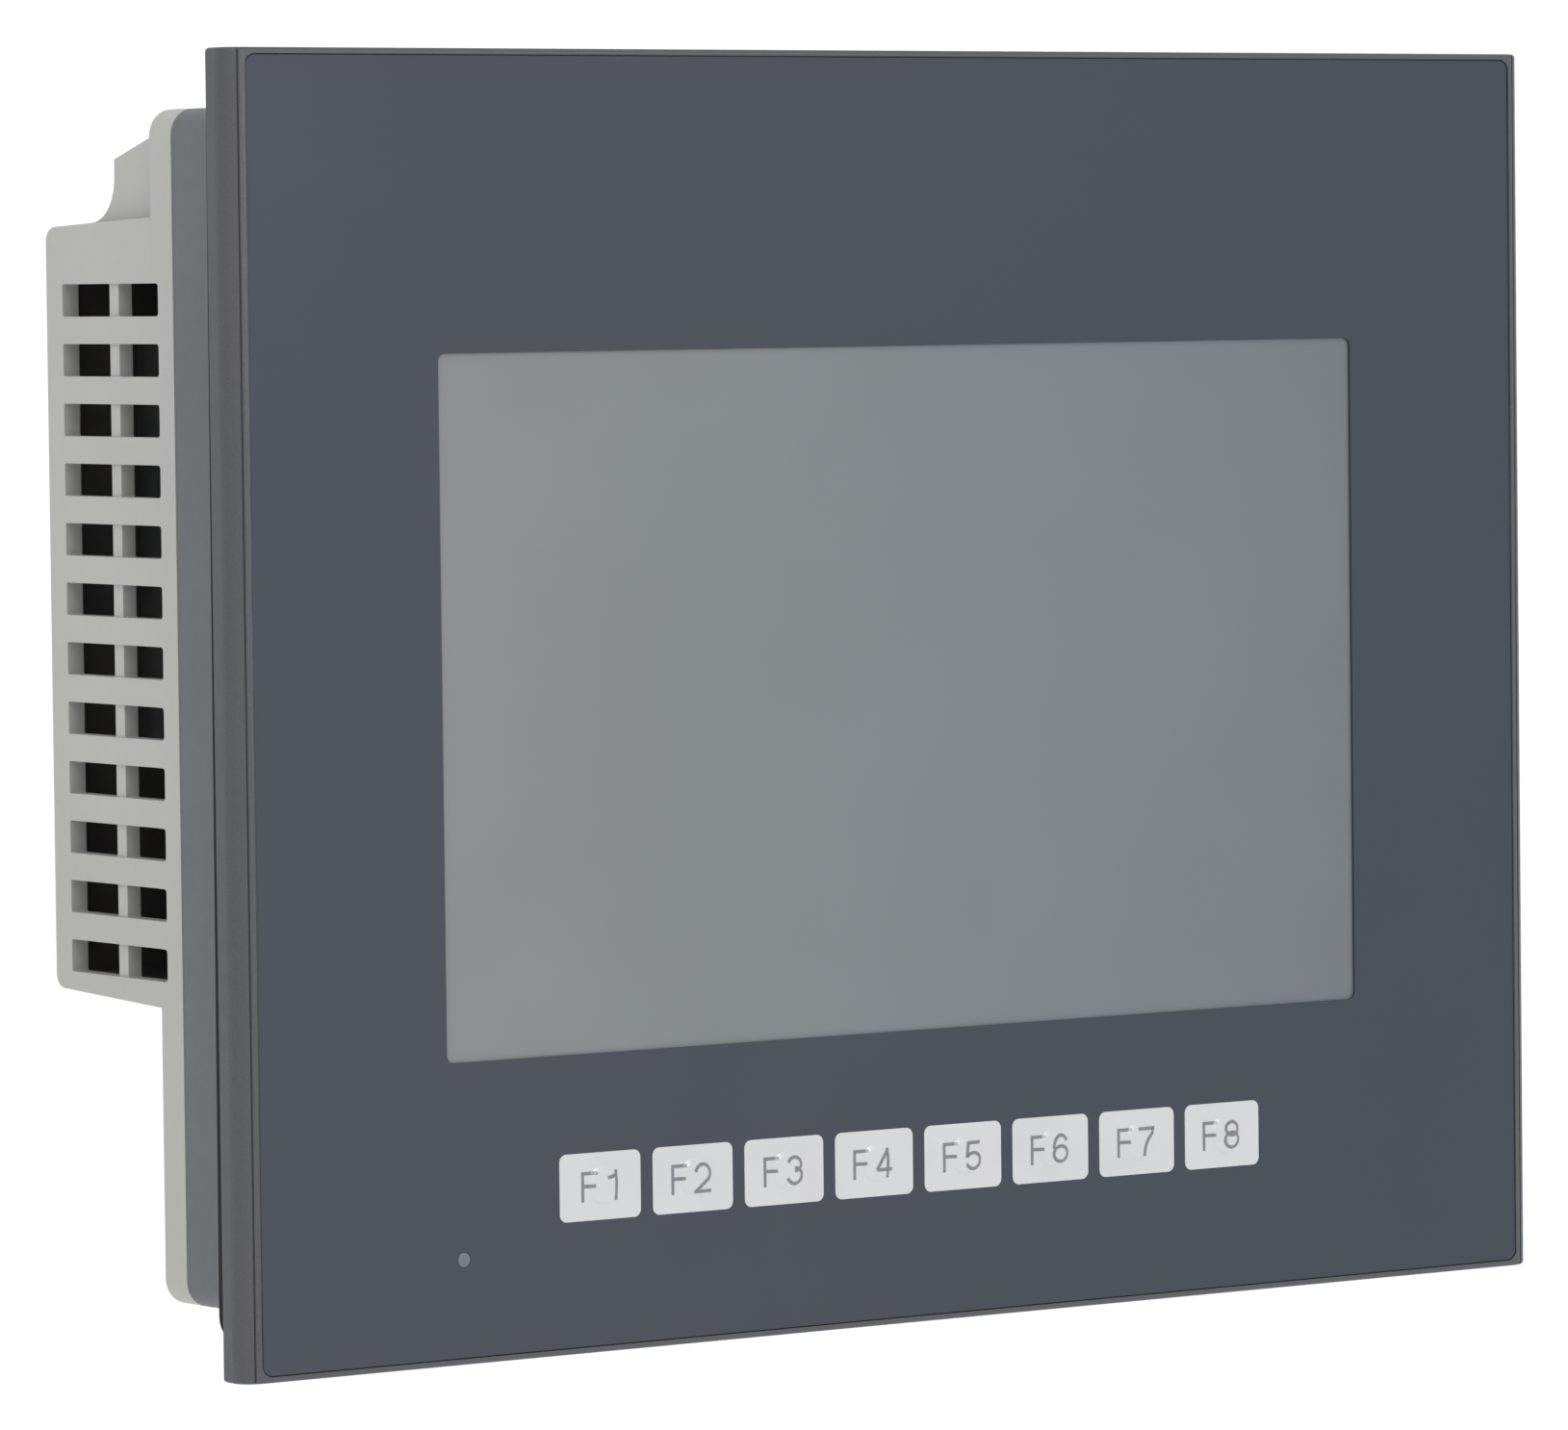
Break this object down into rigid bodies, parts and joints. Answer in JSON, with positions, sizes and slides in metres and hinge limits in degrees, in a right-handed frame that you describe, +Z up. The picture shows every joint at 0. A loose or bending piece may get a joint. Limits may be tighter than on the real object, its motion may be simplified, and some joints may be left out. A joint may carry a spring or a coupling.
{
  "type": "hmi touch panel",
  "caption": "Flat rectangular operator panel with a wide touch screen, a row of function keys below it and a vented rear housing that passes through a panel cut-out.",
  "frame": {"origin": "centre of the panel cut-out, in the plane the gasket presses against", "axes": "+X to the right seen from the front, +Y back through the cut-out into the cabinet, +Z up; the screen faces -Y"},
  "size_m": [0.218, 0.0602, 0.173],
  "materials": {
    "case_dark": "fine texture",
    "overlay_film": "satin film",
    "touch_glass": "anti-glare",
    "lcd_glass": "satin",
    "backlight_white": "matte",
    "steel_sheet": "rolled",
    "board_green": "solder mask",
    "lamp_lens": "diffuse",
    "gasket_rubber": "matte",
    "cover_pale": "fine texture",
    "screw_steel": "zinc",
    "label_blank": "satin",
    "chip_black": "moulded",
    "sink_alloy": "extruded",
    "port_shell": "plated",
    "terminal_plastic": "moulded",
    "ribbon_film": "film",
    "key_white": "satin film"
  },
  "bodies": {
    "housing": {"battery": "screw_steel", "battery_holder": "chip_black", "board_screw_1": "screw_steel", "board_screw_2": "screw_steel", "board_screw_3": "screw_steel", "board_screw_4": "screw_steel", "buzzer": "chip_black", "card_door_pin": "screw_steel", "card_socket": "port_shell", "case_screw_1": "screw_steel", "case_screw_2": "screw_steel", "case_screw_3": "screw_steel", "case_screw_4": "screw_steel", "com2_port": "port_shell", "ethernet_port": "port_shell", "front_case": "case_dark", "front_sheet": "overlay_film", "gasket": "gasket_rubber", "heat_sink": "sink_alloy", "key_board": "board_green", "key_cable": "ribbon_film", "lcd_backlight": "backlight_white", "lcd_cable": "ribbon_film", "lcd_frame": "steel_sheet", "lcd_panel": "lcd_glass", "lcd_screw_1": "screw_steel", "lcd_screw_2": "screw_steel", "lcd_screw_3": "screw_steel", "lcd_screw_4": "screw_steel", "led_lens": "lamp_lens", "main_board": "board_green", "memory_chip_1": "chip_black", "memory_chip_2": "chip_black", "power_coil": "chip_black", "power_header": "terminal_plastic", "processor": "chip_black", "rating_label": "label_blank", "rear_cover": "cover_pale", "serial_port": "port_shell", "shield_plate": "steel_sheet", "status_led": "lamp_lens", "touch_cable": "ribbon_film", "touch_panel": "touch_glass", "usb_host_port": "port_shell", "usb_mini_port": "port_shell"},
    "key_f1": {"key_f1": "key_white"},
    "key_f2": {"key_f2": "key_white"},
    "key_f3": {"key_f3": "key_white"},
    "key_f4": {"key_f4": "key_white"},
    "key_f5": {"key_f5": "key_white"},
    "key_f6": {"key_f6": "key_white"},
    "key_f7": {"key_f7": "key_white"},
    "key_f8": {"key_f8": "key_white"},
    "card_door": {"card_door": "cover_pale"},
    "power_plug": {"power_plug": "terminal_plastic"},
    "terminal_screw_1": {"terminal_screw_1": "screw_steel"},
    "terminal_screw_2": {"terminal_screw_2": "screw_steel"},
    "terminal_screw_3": {"terminal_screw_3": "screw_steel"}
  },
  "joints": [
    {"name": "key_f1_press", "type": "slide", "parent": "housing", "child": "key_f1", "axis": [0, 1, 0], "range_m": [0, 0.0005], "stiffness_N_per_m": 4000},
    {"name": "key_f2_press", "type": "slide", "parent": "housing", "child": "key_f2", "axis": [0, 1, 0], "range_m": [0, 0.0005], "stiffness_N_per_m": 4000},
    {"name": "key_f3_press", "type": "slide", "parent": "housing", "child": "key_f3", "axis": [0, 1, 0], "range_m": [0, 0.0005], "stiffness_N_per_m": 4000},
    {"name": "key_f4_press", "type": "slide", "parent": "housing", "child": "key_f4", "axis": [0, 1, 0], "range_m": [0, 0.0005], "stiffness_N_per_m": 4000},
    {"name": "key_f5_press", "type": "slide", "parent": "housing", "child": "key_f5", "axis": [0, 1, 0], "range_m": [0, 0.0005], "stiffness_N_per_m": 4000},
    {"name": "key_f6_press", "type": "slide", "parent": "housing", "child": "key_f6", "axis": [0, 1, 0], "range_m": [0, 0.0005], "stiffness_N_per_m": 4000},
    {"name": "key_f7_press", "type": "slide", "parent": "housing", "child": "key_f7", "axis": [0, 1, 0], "range_m": [0, 0.0005], "stiffness_N_per_m": 4000},
    {"name": "key_f8_press", "type": "slide", "parent": "housing", "child": "key_f8", "axis": [0, 1, 0], "range_m": [0, 0.0005], "stiffness_N_per_m": 4000},
    {"name": "card_door_hinge", "type": "hinge", "parent": "housing", "child": "card_door", "pos_m": [-0.057, 0.0452, -0.0375], "axis": [1, 0, 0], "range_deg": [0, 95]},
    {"name": "power_plug_pull", "type": "slide", "parent": "housing", "child": "power_plug", "axis": [0, 0, -1], "range_m": [0, 0.014]},
    {"name": "terminal_screw_1_turn", "type": "hinge", "parent": "power_plug", "child": "terminal_screw_1", "pos_m": [0.07292, 0.0456, -0.0418], "axis": [0, 1, 0], "continuous": true},
    {"name": "terminal_screw_2_turn", "type": "hinge", "parent": "power_plug", "child": "terminal_screw_2", "pos_m": [0.078, 0.0456, -0.0418], "axis": [0, 1, 0], "continuous": true},
    {"name": "terminal_screw_3_turn", "type": "hinge", "parent": "power_plug", "child": "terminal_screw_3", "pos_m": [0.08308, 0.0456, -0.0418], "axis": [0, 1, 0], "continuous": true}
  ]
}
